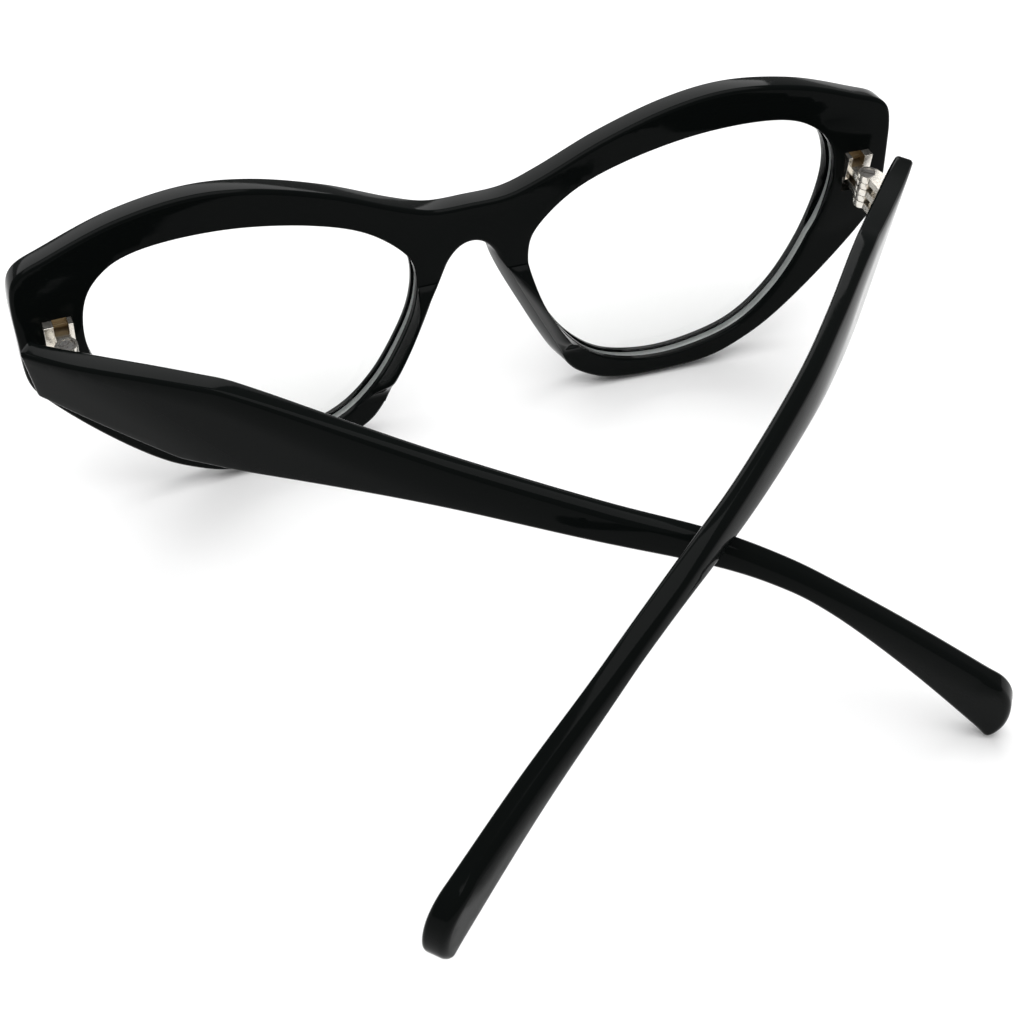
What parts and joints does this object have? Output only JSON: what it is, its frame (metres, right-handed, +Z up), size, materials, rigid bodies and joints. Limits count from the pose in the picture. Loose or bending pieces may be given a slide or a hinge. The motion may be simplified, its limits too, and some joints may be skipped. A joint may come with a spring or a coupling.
{
  "type": "eyeglasses",
  "caption": "Cat-eye full-rim eyeglasses with clear lenses and two hinged temples, standing half folded with the temples crossed.",
  "frame": {"origin": "bottom centre of the bounding box, on the surface the glasses stand on, in the half-folded rest pose", "axes": "+X to the wearer's left, +Y from the front towards the wearer's ears, +Z up along the two hinge pins"},
  "size_m": [0.1419, 0.1096, 0.0502],
  "materials": {
    "acetate": "polished black cellulose acetate",
    "lens": "clear uncoated demonstration lens",
    "hinge_metal": "nickel-silver, satin",
    "screw_steel": "turned steel screw with a slotted head",
    "wire_metal": "drawn nickel-silver wire, hidden inside the temple"
  },
  "bodies": {
    "front": {"front_frame": "acetate", "lens_left": "lens", "lens_right": "lens", "nose_pad_left": "acetate", "nose_pad_right": "acetate", "front_hinge_left": "hinge_metal", "front_hinge_right": "hinge_metal", "hinge_screw_left": "screw_steel", "hinge_screw_right": "screw_steel"},
    "left_temple": {"temple_left": "acetate", "temple_hinge_left": "hinge_metal", "core_wire_left": "wire_metal"},
    "right_temple": {"temple_right": "acetate", "temple_hinge_right": "hinge_metal", "core_wire_right": "wire_metal"}
  },
  "joints": [
    {"name": "left_temple_fold", "type": "hinge", "parent": "front", "child": "left_temple", "pos_m": [0.0638, -0.04047, 0.037], "axis": [0, 0, 1], "range_deg": [-52.4, 7.5]},
    {"name": "right_temple_fold", "type": "hinge", "parent": "front", "child": "right_temple", "pos_m": [-0.0638, -0.04047, 0.037], "axis": [0, 0, -1], "range_deg": [-50.5, 7.25]}
  ],
  "couplings": [
    {"joint": "right_temple_fold", "follows": "left_temple_fold", "ratio": 0.96374}
  ]
}
